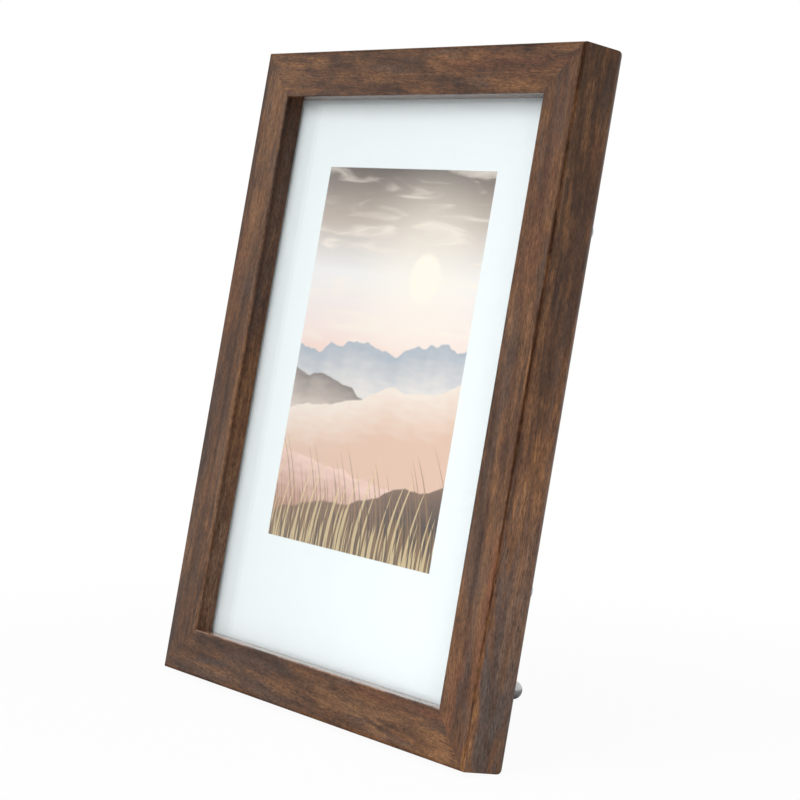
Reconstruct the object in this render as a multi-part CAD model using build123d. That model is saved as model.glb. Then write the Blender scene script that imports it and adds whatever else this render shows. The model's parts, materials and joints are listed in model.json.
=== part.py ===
from build123d import *
import os
from math import asin, atan2, cos, degrees, hypot, radians, sin, tan

# Wooden photo frame for a 15 x 20 cm picture, standing on a round metal support pin.
# Sizes are millimetres. Each piece is drawn upright: x to the right, y from the front
# face to the back, z up from the underside of the bottom rail. The finished pieces are
# then leaned back until the lower back edge and the tip of the pin stand on z = 0.

# Glass and the sheets behind it
GLASS_WIDTH = 150.0
GLASS_HEIGHT = 200.0
GLASS_THICKNESS = 2.0
GLASS_ARRIS = 0.3
AIR_FILM = 0.05
INSERT_THICKNESS = 0.25
FILLER_THICKNESS = 5.0
GLAZING_CLEARANCE = 1.0
BOARD_THICKNESS = 3.0
BOARD_CLEARANCE = 0.5
BOARD_ARRIS = 0.4

# Moulding of the four rails
RAIL_FACE = 15.8
LIP_THICKNESS = 7.1
REBATE_WIDTH = 6.7
FRONT_EASING = 1.0
SIGHT_EASING = 1.0
BACK_ROUNDING = 4.0

# Steel V nails driven into the back of each mitre
V_NAIL_LEG = 4.2
V_NAIL_THICKNESS = 0.7
V_NAIL_HEIGHT = 7.0
V_NAIL_SINK = 0.6

# Support pin and its two sockets, one for each way up
PIN_DIAMETER = 6.5
PIN_REACH = 74.0
PIN_END_CHAMFER = 0.6
PIN_FIT = 0.04
PIN_SEAT_GAP = 0.05
SOCKET_BOARD_MARGIN = 4.8
SOCKET_WALL = 0.6
SOCKET_FLOOR = 0.6
SOCKET_END_GAP = 0.4
SOCKET_RIM = 0.9
SOCKET_RIM_THICKNESS = 0.8
SOCKET_FILLER_CLEARANCE = 0.3

# Turn buttons and the screws that they swivel on
BUTTON_LENGTH = 17.0
BUTTON_PIVOT_RADIUS = 3.0
BUTTON_TIP_RADIUS = 2.6
BUTTON_THICKNESS = 0.8
BUTTON_LIFT = 0.05
BUTTON_FLAT_LENGTH = 13.0
BUTTON_TAB_ANGLE = 22.0
BUTTON_SPACING = 110.0
BUTTON_REBATE_MARGIN = 3.1
SCREW_DIAMETER = 2.8
SCREW_FIT = 0.05
SCREW_DEPTH = 9.0
SCREW_POINT = 2.5
SCREW_HEAD_DIAMETER = 5.0
SCREW_HEAD_EDGE = 0.4
SCREW_HEAD_DOME = 0.9

# Strap hangers with triangular rings, one for each way up
HANGER_SETBACK = 24.0
RING_THICKNESS = 1.4
RING_BAR_WIDTH = 1.8
RING_APEX_ANGLE = 56.0
RING_CORNER = 1.8
RING_SIDE_PLAY = 0.8
EYE_FIT = 0.08
STRAP_THICKNESS = 0.7
STRAP_WIDTH = 8.0
STRAP_RIVET_DISTANCE = 6.0
RIVET_DIAMETER = 3.0
RIVET_HEAD_DIAMETER = 5.0
RIVET_HEAD_DOME = 1.0

# Sizes that follow from the ones above
rebate_opening_width = GLASS_WIDTH + 2 * GLAZING_CLEARANCE
rebate_opening_height = GLASS_HEIGHT + 2 * GLAZING_CLEARANCE
rail_back = RAIL_FACE - REBATE_WIDTH
width = rebate_opening_width + 2 * rail_back
height = rebate_opening_height + 2 * rail_back
glass_back = LIP_THICKNESS + GLASS_THICKNESS
insert_front = glass_back + AIR_FILM
insert_back = insert_front + INSERT_THICKNESS
filler_back = insert_back + FILLER_THICKNESS
depth = filler_back + BOARD_THICKNESS
mid_height = height / 2

pin_radius = PIN_DIAMETER / 2
bore_radius = pin_radius + PIN_FIT
barrel_radius = bore_radius + SOCKET_WALL
rim_radius = barrel_radius + SOCKET_RIM
barrel_end = insert_back + SOCKET_END_GAP
bore_end = barrel_end + SOCKET_FLOOR
socket_setback = rail_back + BOARD_CLEARANCE + SOCKET_BOARD_MARGIN

button_under = depth + BUTTON_LIFT
screw_head_under = button_under + BUTTON_THICKNESS + BUTTON_LIFT
screw_radius = SCREW_DIAMETER / 2
button_inset = rail_back - BUTTON_REBATE_MARGIN

ring_bar_radius = hypot(RING_BAR_WIDTH, RING_THICKNESS) / 2
eye_inner = ring_bar_radius + EYE_FIT
eye_outer = eye_inner + STRAP_THICKNESS
ring_base_angle = (180 - RING_APEX_ANGLE) / 2
ring_corner_run = RING_CORNER / tan(radians(ring_base_angle / 2))
ring_base = STRAP_WIDTH + 2 * RING_SIDE_PLAY + 2 * ring_corner_run
ring_height = ring_base / 2 * tan(radians(ring_base_angle))

# Where the pin and the turn buttons sit on the back, as (x, z)
portrait_socket_at = (0.0, socket_setback)
landscape_socket_at = (width / 2 - socket_setback, mid_height)
button_columns = {"left": -width / 2 + button_inset, "right": width / 2 - button_inset}
button_rows = {"upper": mid_height + BUTTON_SPACING / 2, "lower": mid_height - BUTTON_SPACING / 2}


def rail(length, place):
    """A mitred moulding: x runs in from the outer edge, y to the back and z along the rail."""
    corners = [
        (0, 0),
        (RAIL_FACE, 0),
        (RAIL_FACE, LIP_THICKNESS),
        (rail_back, LIP_THICKNESS),
        (rail_back, depth),
        (0, depth),
    ]
    section = make_face(Polyline(*corners, close=True))
    easings = {(0, 0): FRONT_EASING, (RAIL_FACE, 0): SIGHT_EASING, (0, depth): BACK_ROUNDING}
    for (x, y), radius in easings.items():
        corner = section.vertices().sort_by_distance((x, y, 0))[0]
        section = fillet(corner, radius)
    mitre_outline = [
        (0, 0),
        (RAIL_FACE, RAIL_FACE),
        (RAIL_FACE, length - RAIL_FACE),
        (0, length),
    ]
    mitre_face = Plane.XZ * make_face(Polyline(*mitre_outline, close=True))
    return place * (extrude(section, length) & extrude(mitre_face, -depth))


def rail_places():
    """The seat of each rail: its outer lower end, the way in from its edge and its length."""
    half = width / 2
    return {
        "left_stile": (height, Plane((-half, 0, 0), x_dir=(1, 0, 0), z_dir=(0, 0, 1))),
        "right_stile": (height, Plane((half, 0, height), x_dir=(-1, 0, 0), z_dir=(0, 0, -1))),
        "bottom_rail": (width, Plane((half, 0, 0), x_dir=(0, 0, 1), z_dir=(-1, 0, 0))),
        "top_rail": (width, Plane((-half, 0, height), x_dir=(0, 0, -1), z_dir=(1, 0, 0))),
    }


def v_nail(side, end):
    """One V nail across the mitre at a corner: side is -1 or 1 in x, end is -1 or 1 in z."""
    setback = (rail_back - V_NAIL_LEG) / 2
    apex = (width / 2 - setback, height / 2 - setback)
    tip = (apex[0] - V_NAIL_LEG, apex[1] - V_NAIL_LEG)
    inner = (apex[0] - V_NAIL_THICKNESS, apex[1] - V_NAIL_THICKNESS)
    outline = [
        (apex[0], apex[1]),
        (apex[0], tip[1]),
        (inner[0], tip[1]),
        (inner[0], inner[1]),
        (tip[0], inner[1]),
        (tip[0], apex[1]),
    ]
    turned = [(side * x, end * z + mid_height) for x, z in outline]
    head = depth - V_NAIL_SINK
    face = Plane.XZ.offset(-head) * make_face(Polyline(*turned, close=True))
    return extrude(face, V_NAIL_HEIGHT)


def sheet(sheet_width, sheet_height, front, thickness):
    """A flat sheet in the rebate, centred on the frame."""
    middle = Pos(0, front + thickness / 2, mid_height)
    return middle * Box(sheet_width, thickness, sheet_height)


def turned_piece(outline):
    """Revolve a closed (radius, y) outline, made of curves, about the y axis."""
    return revolve(make_face(Curve() + outline), Axis.Y)


def hole(radius, front, back, at):
    """A cylinder along y, used to cut a hole at (x, z)."""
    x, z = at
    return Pos(x, (front + back) / 2, z) * Rot(X=90) * Cylinder(radius, back - front)


def socket(at):
    """A flanged blind bush pressed into the back board."""
    rim_back = depth + SOCKET_RIM_THICKNESS
    corners = [
        (0, barrel_end),
        (barrel_radius, barrel_end),
        (barrel_radius, depth),
        (rim_radius, depth),
        (rim_radius, rim_back),
        (bore_radius, rim_back),
        (bore_radius, bore_end),
        (0, bore_end),
    ]
    x, z = at
    return Pos(x, 0, z) * turned_piece([Polyline(*corners, close=True)])


def support_pin(at):
    """The round rod that the frame leans on, with a half-round tip."""
    seat = bore_end + PIN_SEAT_GAP
    tip = depth + PIN_REACH
    side = Polyline(
        (0, tip),
        (0, seat),
        (pin_radius - PIN_END_CHAMFER, seat),
        (pin_radius, seat + PIN_END_CHAMFER),
        (pin_radius, tip - pin_radius),
    )
    dome = CenterArc((0, tip - pin_radius), pin_radius, 0, 90)
    x, z = at
    return Pos(x, 0, z) * turned_piece([side, dome])


def screw(at):
    """A pan-head wood screw that holds one turn button."""
    edge_back = screw_head_under + SCREW_HEAD_EDGE
    crown = edge_back + SCREW_HEAD_DOME
    head_radius = SCREW_HEAD_DIAMETER / 2
    dome_radius = (head_radius**2 + SCREW_HEAD_DOME**2) / (2 * SCREW_HEAD_DOME)
    dome_half_angle = degrees(asin(head_radius / dome_radius))
    point = depth - SCREW_DEPTH
    side = Polyline(
        (0, crown),
        (0, point),
        (screw_radius, point + SCREW_POINT),
        (screw_radius, screw_head_under),
        (head_radius, screw_head_under),
        (head_radius, edge_back),
    )
    dome = CenterArc((0, crown - dome_radius), dome_radius, 90 - dome_half_angle, dome_half_angle)
    x, z = at
    return Pos(x, 0, z) * turned_piece([side, dome])


def turn_button(at, inward):
    """A sheet-steel turn button with a raised finger tab; inward is the side its blade points to."""
    rise = radians(BUTTON_TAB_ANGLE)
    start = -BUTTON_PIVOT_RADIUS
    tab_run = BUTTON_LENGTH + BUTTON_TIP_RADIUS - BUTTON_FLAT_LENGTH
    tab_end = (BUTTON_FLAT_LENGTH + tab_run, tab_run * tan(rise))
    shift = (-BUTTON_THICKNESS * sin(rise), BUTTON_THICKNESS * cos(rise))
    bend_above = BUTTON_FLAT_LENGTH - BUTTON_THICKNESS * tan(rise / 2)
    strip_outline = [
        (start, 0),
        (BUTTON_FLAT_LENGTH, 0),
        tab_end,
        (tab_end[0] + shift[0], tab_end[1] + shift[1]),
        (bend_above, BUTTON_THICKNESS),
        (start, BUTTON_THICKNESS),
    ]
    strip = extrude(make_face(Polyline(*strip_outline, close=True)), BUTTON_PIVOT_RADIUS, both=True)
    pivot_edge = CenterArc((0, 0), BUTTON_PIVOT_RADIUS, 0, 360)
    tip_edge = CenterArc((BUTTON_LENGTH, 0), BUTTON_TIP_RADIUS, 0, 360)
    plan = Plane.XZ * make_hull([pivot_edge.edge(), tip_edge.edge()])
    plan_height = tab_end[1] + BUTTON_THICKNESS
    blade = strip & extrude(plan, -plan_height)
    bore = Rot(X=90) * Cylinder(screw_radius + SCREW_FIT, 3 * BUTTON_THICKNESS)
    x, z = at
    return Plane((x, button_under, z), x_dir=(inward, 0, 0), z_dir=(0, 0, inward)) * (blade - bore)


def strap():
    """A folded strap: an eye round the ring's bar and a tongue that runs along +x on the board."""
    tongue_half = STRAP_WIDTH / 2
    tongue_thickness = 2 * STRAP_THICKNESS
    tongue_length = STRAP_RIVET_DISTANCE + tongue_half
    tongue = Pos(tongue_length / 2, tongue_thickness / 2) * Rectangle(tongue_length, tongue_thickness)
    eye_middle = Pos(0, eye_outer)
    profile = eye_middle * Circle(eye_outer) + tongue - eye_middle * Circle(eye_inner)
    plan_round = Pos(STRAP_RIVET_DISTANCE, 0) * Circle(tongue_half)
    plan_length = STRAP_RIVET_DISTANCE + eye_outer
    plan_straight = Pos(STRAP_RIVET_DISTANCE - plan_length / 2, 0) * Rectangle(plan_length, STRAP_WIDTH)
    plan = Plane.XZ * (plan_round + plan_straight)
    return extrude(profile, tongue_half, both=True) & extrude(plan, -2 * eye_outer)


def rivet():
    """A domed rivet through the strap and the back board, standing at the strap's hole."""
    head_under = 2 * STRAP_THICKNESS
    head_radius = RIVET_HEAD_DIAMETER / 2
    dome_radius = (head_radius**2 + RIVET_HEAD_DOME**2) / (2 * RIVET_HEAD_DOME)
    dome_half_angle = degrees(asin(head_radius / dome_radius))
    crown = head_under + RIVET_HEAD_DOME
    side = Polyline(
        (0, crown),
        (0, -BOARD_THICKNESS),
        (RIVET_DIAMETER / 2, -BOARD_THICKNESS),
        (RIVET_DIAMETER / 2, head_under),
        (head_radius, head_under),
    )
    dome = CenterArc((0, crown - dome_radius), dome_radius, 90 - dome_half_angle, dome_half_angle)
    return Pos(STRAP_RIVET_DISTANCE, 0, 0) * turned_piece([side, dome])


def ring():
    """A stamped triangle whose bar lies in the strap's eye and whose point lies along -x."""
    corners = [(0, ring_base / 2), (-ring_height, 0), (0, -ring_base / 2)]
    middle_line = FilletPolyline(*corners, radius=RING_CORNER, close=True)
    outer = offset(make_face(middle_line), RING_BAR_WIDTH / 2)
    inner = offset(make_face(middle_line), -RING_BAR_WIDTH / 2)
    stamping = extrude(Plane.XZ * (outer - inner), RING_THICKNESS / 2, both=True)
    return Pos(0, eye_outer, 0) * stamping


def hanger_places():
    """The seat of each strap hanger: its eye on the back, with the tongue running inwards."""
    eye_top = (0, depth, height - HANGER_SETBACK)
    eye_side = (-width / 2 + HANGER_SETBACK, depth, mid_height)
    return {
        "portrait": Plane(eye_top, x_dir=(0, 0, -1), z_dir=(1, 0, 0)),
        "landscape": Plane(eye_side, x_dir=(1, 0, 0), z_dir=(0, 0, 1)),
    }


def lean_angle():
    """Degrees that the frame leans back, with its back edge and the pin's tip on one level."""
    tip_rise = socket_setback - BACK_ROUNDING
    tip_run = PIN_REACH - pin_radius + BACK_ROUNDING
    level_change = asin((pin_radius - BACK_ROUNDING) / hypot(tip_rise, tip_run))
    return degrees(atan2(tip_rise, tip_run) - level_change)


def build_pieces():
    """Every piece of the frame, upright, by name."""
    corners = [(side, end) for side in (-1, 1) for end in (-1, 1)]
    v_nails = Compound([v_nail(side, end) for side, end in corners])
    button_spots = [
        (row, column, (x, z)) for column, x in button_columns.items() for row, z in button_rows.items()
    ]
    screws = Compound([screw(at) for row, column, at in button_spots])
    hangers = hanger_places()
    rivets = Compound([place * rivet() for place in hangers.values()])
    sockets = {"portrait": portrait_socket_at, "landscape": landscape_socket_at}

    pieces = {}
    for name, (length, place) in rail_places().items():
        pieces[name] = rail(length, place) - v_nails - screws
    pieces["corner_v_nails"] = v_nails

    glass = sheet(GLASS_WIDTH, GLASS_HEIGHT, LIP_THICKNESS, GLASS_THICKNESS)
    pieces["glass_pane"] = chamfer(glass.edges(), GLASS_ARRIS)
    pieces["picture_insert"] = sheet(GLASS_WIDTH, GLASS_HEIGHT, insert_front, INSERT_THICKNESS)
    filler = sheet(GLASS_WIDTH, GLASS_HEIGHT, insert_back, FILLER_THICKNESS)
    board_gap = 2 * BOARD_CLEARANCE
    board = sheet(
        rebate_opening_width - board_gap, rebate_opening_height - board_gap, filler_back, BOARD_THICKNESS
    )
    back_face = board.faces().sort_by(Axis.Y)[-1]
    board = chamfer(back_face.edges(), BOARD_ARRIS)
    for name, at in sockets.items():
        filler -= hole(barrel_radius + SOCKET_FILLER_CLEARANCE, insert_back, filler_back, at)
        board -= hole(barrel_radius, filler_back, depth, at)
        pieces[f"{name}_pin_socket"] = socket(at)
    pieces["filler_board"] = filler
    pieces["back_board"] = board - rivets
    pieces["support_pin"] = support_pin(portrait_socket_at)

    for row, column, at in button_spots:
        inward = 1 if column == "left" else -1
        pieces[f"turn_button_{row}_{column}"] = turn_button(at, inward)
    pieces["turn_button_screws"] = screws

    for name, place in hangers.items():
        pieces[f"{name}_hanger_strap"] = place * strap() - rivets
        pieces[f"{name}_hanger_ring"] = place * ring()
    pieces["hanger_rivets"] = rivets
    return pieces


def stand_up(pieces):
    """Lean the pieces back and put the middle of the footprint at the origin."""
    lean = Rot(X=-lean_angle())
    leaned = {name: lean * piece for name, piece in pieces.items()}
    box = Compound(list(leaned.values())).bounding_box()
    to_origin = Pos(0, -(box.min.Y + box.max.Y) / 2, -box.min.Z)
    return {name: to_origin * piece for name, piece in leaned.items()}


os.makedirs("parts", exist_ok=True)
for node, piece in stand_up(build_pieces()).items():
    export_step(piece, f"parts/{node}.step")
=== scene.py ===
"""Dresses a stained wood photo frame that leans back on a metal pin.

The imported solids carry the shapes. This script gives each of them its finish, puts
detailed screws and rivets in place of the plain ones, and sets up studio and camera.
"""

from __future__ import annotations

import json
import logging
import math
from dataclasses import asdict, dataclass
from enum import Enum

import bpy
from mathutils import Euler, Matrix, Vector

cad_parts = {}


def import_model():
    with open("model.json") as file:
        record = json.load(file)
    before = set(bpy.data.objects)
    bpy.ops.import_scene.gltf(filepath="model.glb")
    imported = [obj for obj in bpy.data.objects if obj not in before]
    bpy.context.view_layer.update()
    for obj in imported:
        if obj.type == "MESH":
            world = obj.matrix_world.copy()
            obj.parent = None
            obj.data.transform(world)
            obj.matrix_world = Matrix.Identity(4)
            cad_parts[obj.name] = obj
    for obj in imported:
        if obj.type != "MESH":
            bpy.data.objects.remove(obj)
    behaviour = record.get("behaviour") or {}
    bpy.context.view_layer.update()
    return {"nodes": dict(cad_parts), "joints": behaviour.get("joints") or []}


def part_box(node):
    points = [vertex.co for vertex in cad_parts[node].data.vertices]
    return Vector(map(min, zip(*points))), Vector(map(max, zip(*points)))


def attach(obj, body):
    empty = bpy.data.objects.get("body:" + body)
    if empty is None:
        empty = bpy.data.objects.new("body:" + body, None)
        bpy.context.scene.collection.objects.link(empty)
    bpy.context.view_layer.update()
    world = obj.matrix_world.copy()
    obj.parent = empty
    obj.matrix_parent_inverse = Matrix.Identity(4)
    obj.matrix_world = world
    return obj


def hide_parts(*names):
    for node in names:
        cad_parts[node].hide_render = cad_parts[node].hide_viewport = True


MM = 0.001
ROOT_BODY = "frame"
log = logging.getLogger("photo_frame")

Colour = tuple[float, float, float, float]
Pair = tuple[float, float]
Triple = tuple[float, float, float]
Stops = tuple[tuple[float, str], ...]
Socket = bpy.types.NodeSocket
Tree = bpy.types.NodeTree
Step = tuple[Socket, Pair, Pair]
Nodes = dict[str, bpy.types.Object]


def linear(hex_colour: str) -> Colour:
    """Turn an sRGB hex colour into linear light.

    Args:
        hex_colour: Colour such as "#7A5A44".

    Returns:
        Linear red, green and blue with an alpha of 1.
    """
    parts = (int(hex_colour[i : i + 2], 16) / 255 for i in (1, 3, 5))
    red, green, blue = (c / 12.92 if c <= 0.04045 else ((c + 0.055) / 1.055) ** 2.4 for c in parts)
    return red, green, blue, 1.0


def add(
    tree: Tree,
    kind: str,
    inputs: dict | tuple = (),
    out: int | str = 0,
    stops: Stops = (),
    **settings: object,
) -> Socket | None:
    """Add a node with its settings and links.

    Args:
        tree: Node tree that gets the node.
        kind: Blender's identifier of the node's type; a leading "ShaderNode" is left off.
        inputs: What the inputs get, by name or index, or in order: values, sockets to link or
            lists of sockets.
        out: Name or index of the output to hand back.
        stops: Positions and hex colours of a colour ramp.
        **settings: Properties of the node.

    Returns:
        The chosen output socket, or None if the node has no outputs.
    """
    node = tree.nodes.new(kind if "Node" in kind else f"ShaderNode{kind}")
    for name, value in settings.items():
        setattr(node, name, value)
    for key, value in inputs.items() if isinstance(inputs, dict) else enumerate(inputs):
        for item in value if isinstance(value, list) else [value]:
            if isinstance(item, bpy.types.NodeSocket):
                tree.links.new(item, node.inputs[key])
            else:
                node.inputs[key].default_value = item
    for index, (position, colour) in enumerate(stops):
        elements = node.color_ramp.elements
        element = elements[index] if index < 2 else elements.new(position)
        element.position = position
        element.color = linear(colour)
    return node.outputs[out] if node.outputs else None


def fade(tree: Tree, *steps: Step, curve: str = "SMOOTHSTEP") -> Socket:
    """Multiply steps together.

    Args:
        tree: Node tree.
        *steps: What each step follows, and its two ends as a value and the share there.
        curve: Blender's name for how a step runs from end to end.

    Returns:
        The product of the shares.
    """
    product = 1.0
    for value, (first, first_share), (last, last_share) in steps:
        run = {"Value": value, "From Min": first, "From Max": last}
        run |= {"To Min": first_share, "To Max": last_share}
        step = add(tree, "MapRange", run, interpolation_type=curve)
        product = add(tree, "Math", (step, product), operation="MULTIPLY")
    return product


def lay_over(tree: Tree, behind: Socket | Colour, *marks: tuple[Socket, Socket | str]) -> Socket:
    """Lay colours over what is behind them, one after another.

    Args:
        tree: Node tree.
        behind: Colour behind them all.
        *marks: Share of each colour, and the colour as a socket or in hex.

    Returns:
        The colour socket.
    """
    for share, colour in marks:
        front = linear(colour) if isinstance(colour, str) else colour
        behind = add(tree, "Mix", {0: share, 6: behind, 7: front}, out=2, data_type="RGBA")
    return behind


@dataclass(frozen=True)
class Stance:
    """How the frame leans: from upright millimetres (x right, y back, z up) to the row frame."""

    lean: float
    width: float = 170.2
    height: float = 220.2
    rail_face: float = 15.8
    pane_middle_depth: float = 8.1

    @classmethod
    def from_joints(cls, joints: list[dict]) -> Stance:
        """Read the lean off the support pin, which slides straight out of the back."""
        _, back, up = next(joint["axis"] for joint in joints if joint["name"] == "support_pin_slide")
        return cls(lean=math.atan2(-up, back))

    def turn(self) -> Matrix:
        """The rotation that leans the upright frame back."""
        return Matrix.Rotation(-self.lean, 3, "X")

    def origin(self) -> Vector:
        """The row frame's place of the upright origin, found from the pane's box, in metres."""
        low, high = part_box("glass_pane")
        middle = Vector((0, self.pane_middle_depth, self.height / 2)) * MM
        return (low + high) / 2 - self.turn() @ middle

    def direction(self, x: float, y: float, z: float) -> Vector:
        """Turn an upright direction into the row frame."""
        return self.turn() @ Vector((x, y, z))

    def upright(self, tree: Tree) -> Socket:
        """Add nodes that give a surface point in upright millimetres.

        Args:
            tree: Material tree that gets the nodes.

        Returns:
            The vector socket.
        """
        back_turn = self.turn().inverted()
        settings = {
            "Vector": add(tree, "TexCoord", out="Object"),
            "Location": tuple(-(back_turn @ self.origin()) / MM),
            "Rotation": (self.lean, 0.0, 0.0),
            "Scale": (1 / MM,) * 3,
        }
        return add(tree, "Mapping", settings)


@dataclass(frozen=True)
class Finish:
    """A surface finish. Each kind writes its own shader."""

    name: str

    def shade(self, tree: Tree) -> Socket:
        """Add the finish's nodes and give back its shader socket."""
        raise NotImplementedError

    def material(self) -> bpy.types.Material:
        """Make the material of this finish."""
        material = bpy.data.materials.new(self.name)
        material.use_nodes = True
        material.node_tree.nodes.clear()
        add(material.node_tree, "OutputMaterial", {"Surface": self.shade(material.node_tree)})
        return material


class Grain(Enum):
    """Which upright axis a rail's grain runs along."""

    ACROSS_FRAME = 0
    UP_FRAME = 2


class Figure(Enum):
    """A layer of the wood's figure: mm across the grain, mm along it, and octaves of finer figure."""

    HUE = (5.5, 34.0, 2.0)
    MOTTLE = (2.6, 8.0, 3.0)
    FIBRES = (0.5, 4.5, 2.0)
    PORES = (0.4, 2.6, 1.0)
    PATCHES = (7.0, 40.0, 2.0)
    BANDS = (2.4, 36.0, 3.0)
    SPECKS = (0.45, 1.7, 1.0)
    WAVER = (2.5, 16.0, 2.0)
    SPOTS = (1.2, 4.0, 2.0)


class RailFace(Enum):
    """A long face of a rail that a streak lies on."""

    FRONT = "front"
    SIDE = "side"
    SIGHT = "sight"


class Stain(Enum):
    """The tones that the stain takes where the wood drinks more or less of it, and a pale tone that paints
    the sheen on the bottom ledge.
    """

    GOLD = "#866142"
    TAN = "#7A5D49"
    RED = "#6E432F"
    GREY = "#4D423D"
    DARK = "#33251D"
    # Pale tone that paints the sheen on the bottom ledge.
    THIN = "#A57F6A"


@dataclass(frozen=True)
class Streak:
    """A long mark in one rail's figure, or a band of painted light or shade.

    Its ends are given in millimetres along the grain and across the face: in from the outer
    edge on the front, and back from the front on the side and on the sight wall.
    """

    face: RailFace
    start: Pair
    end: Pair
    half_width: float
    stain: Stain
    share: float
    fade: float = 14.0


@dataclass(frozen=True)
class RailPoint:
    """Where a surface point lies on its rail, as sockets that carry millimetres."""

    inward: Socket
    to_sight: Socket
    back: Socket
    along: Socket
    height: Socket
    front_arris: Socket
    mitre: Socket


@dataclass(frozen=True)
class StainedAlder(Finish):
    """Alder, planed, stained brown and lacquered.

    Stain sinks unevenly into the fine wood: broad soft patches of grey, red and golden brown,
    fine fibres that show best in the golden parts, a dark line on the sight wall just behind its
    edge, and a soft gloss from the lacquer on top. Painted over the stain: shade along the outer
    arris, highlights along eased arrises, shade on the left sight wall and the right side that
    deepens towards the top, and a pale sheen on the bottom ledge.
    """

    stance: Stance
    grain: Grain
    cut: Triple
    tilt: float
    sight_gloss: float
    rebate_dark: float
    # Strength of the painted shade along the outer arris.
    arris_shade: float
    streaks: tuple[Streak, ...]
    tones: Stops = (
        (0.38, "#3E2A1F"),
        (0.44, "#4C3426"),
        (0.50, "#5B3E2B"),
        (0.56, "#694830"),
        (0.62, "#7F593B"),
    )
    pore: str = "#261A12"
    rebate: str = "#3A1F0E"
    # Colour of the painted shade along the outer arris.
    arris: str = "#2B170C"
    mitre: str = "#21170F"
    rubbed: str = "#75502F"
    brightness: float = 0.93
    roughness: Pair = (0.28, 0.38)
    wall_roughness: float = 0.1
    gloss: Pair = (0.03, 0.18)
    bump_height: float = 0.02 * MM

    def layer(self, tree: Tree, upright: Socket, figure: Figure) -> Socket:
        """Add one layer of figure, drawn out along the grain.

        Args:
            tree: Material tree.
            upright: Surface point in upright millimetres.
            figure: The layer.

        Returns:
            A value socket around 0.5.
        """
        across, along, detail = figure.value
        scale = [across] * 3
        scale[self.grain.value] = along
        tilt = (0.0, math.radians(self.tilt), 0.0)
        lie = {"Vector": upright, "Location": self.cut, "Rotation": tilt, "Scale": tuple(scale)}
        point = add(tree, "Mapping", lie, vector_type="TEXTURE")
        noise = {"Vector": point, "Scale": 1.0, "Detail": detail, "Roughness": 0.55, "Distortion": 0.4}
        return add(tree, "TexNoise", noise)

    def blend(self, tree: Tree, level: float, *layers: tuple[Socket, Socket | float]) -> Socket | float:
        """Add layers of figure up around a level.

        Args:
            tree: Material tree.
            level: What the sum is where each layer is at its middle.
            *layers: Each layer with its share.

        Returns:
            The sum.
        """
        for figure, share in layers:
            centred = add(tree, "Math", (figure, 0.5), operation="SUBTRACT")
            level = add(tree, "Math", (centred, share, level), operation="MULTIPLY_ADD")
        return level

    def rail_point(self, tree: Tree, upright: Socket) -> RailPoint:
        """Add the distances that the marks of the moulding follow.

        Args:
            tree: Material tree.
            upright: Surface point in upright millimetres.

        Returns:
            The place on the rail.
        """
        x, y, z = add(tree, "SeparateXYZ", {"Vector": upright}).node.outputs
        half_width, half_height = self.stance.width / 2, self.stance.height / 2
        side = add(tree, "Math", (x,), operation="ABSOLUTE")
        from_side = add(tree, "Math", (half_width, side), operation="SUBTRACT")
        middle = add(tree, "Math", (z, half_height), operation="SUBTRACT")
        end = add(tree, "Math", (middle,), operation="ABSOLUTE")
        from_end = add(tree, "Math", (half_height, end), operation="SUBTRACT")
        runs_up = self.grain is Grain.UP_FRAME
        inward = from_side if runs_up else from_end
        to_sight = add(tree, "Math", (self.stance.rail_face, inward), operation="SUBTRACT")
        corner = add(tree, "CombineXYZ", {"X": inward, "Y": y})
        arris = add(tree, "VectorMath", (corner,), out="Value", operation="LENGTH")
        mitre_gap = add(tree, "Math", (from_side, from_end), operation="SUBTRACT")
        mitre = add(tree, "Math", (mitre_gap,), operation="ABSOLUTE")
        return RailPoint(inward, to_sight, y, z if runs_up else x, z, arris, mitre)

    def streak_share(self, tree: Tree, place: RailPoint, waver: Socket, streak: Streak) -> Socket:
        """Add the share of a streak's colour: full on its line, fading at its sides and ends.

        Args:
            tree: Material tree.
            place: Where the point lies on the rail.
            waver: Figure that makes the streak's line uneven.
            streak: The streak.

        Returns:
            The share.
        """
        across, off_face, (near, far) = {
            RailFace.FRONT: (place.inward, place.back, (0.8, 1.8)),
            RailFace.SIDE: (place.back, place.inward, (0.8, 1.8)),
            RailFace.SIGHT: (place.back, place.to_sight, (0.1, 0.5)),
        }[streak.face]
        (first, first_across), (last, last_across) = streak.start, streak.end
        slope = (last_across - first_across) / (last - first)
        rising = (place.along, slope, first_across - slope * first)
        line = add(tree, "Math", rising, operation="MULTIPLY_ADD")
        apart = add(tree, "Math", (across, line), operation="SUBTRACT")
        sway = 3 * streak.half_width
        swayed = add(tree, "Math", (waver, sway, apart), operation="MULTIPLY_ADD")
        centred = add(tree, "Math", (swayed, sway / 2), operation="SUBTRACT")
        reach = add(tree, "Math", (centred,), operation="ABSOLUTE")
        return fade(
            tree,
            (reach, (0.2 * streak.half_width, streak.share), (streak.half_width, 0.0)),
            (place.along, (first, 0.0), (first + streak.fade, 1.0)),
            (place.along, (last - streak.fade, 1.0), (last, 0.0)),
            (off_face, (near, 1.0), (far, 0.0)),
            (waver, (0.42, 0.4), (0.58, 1.0)),
        )

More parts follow.
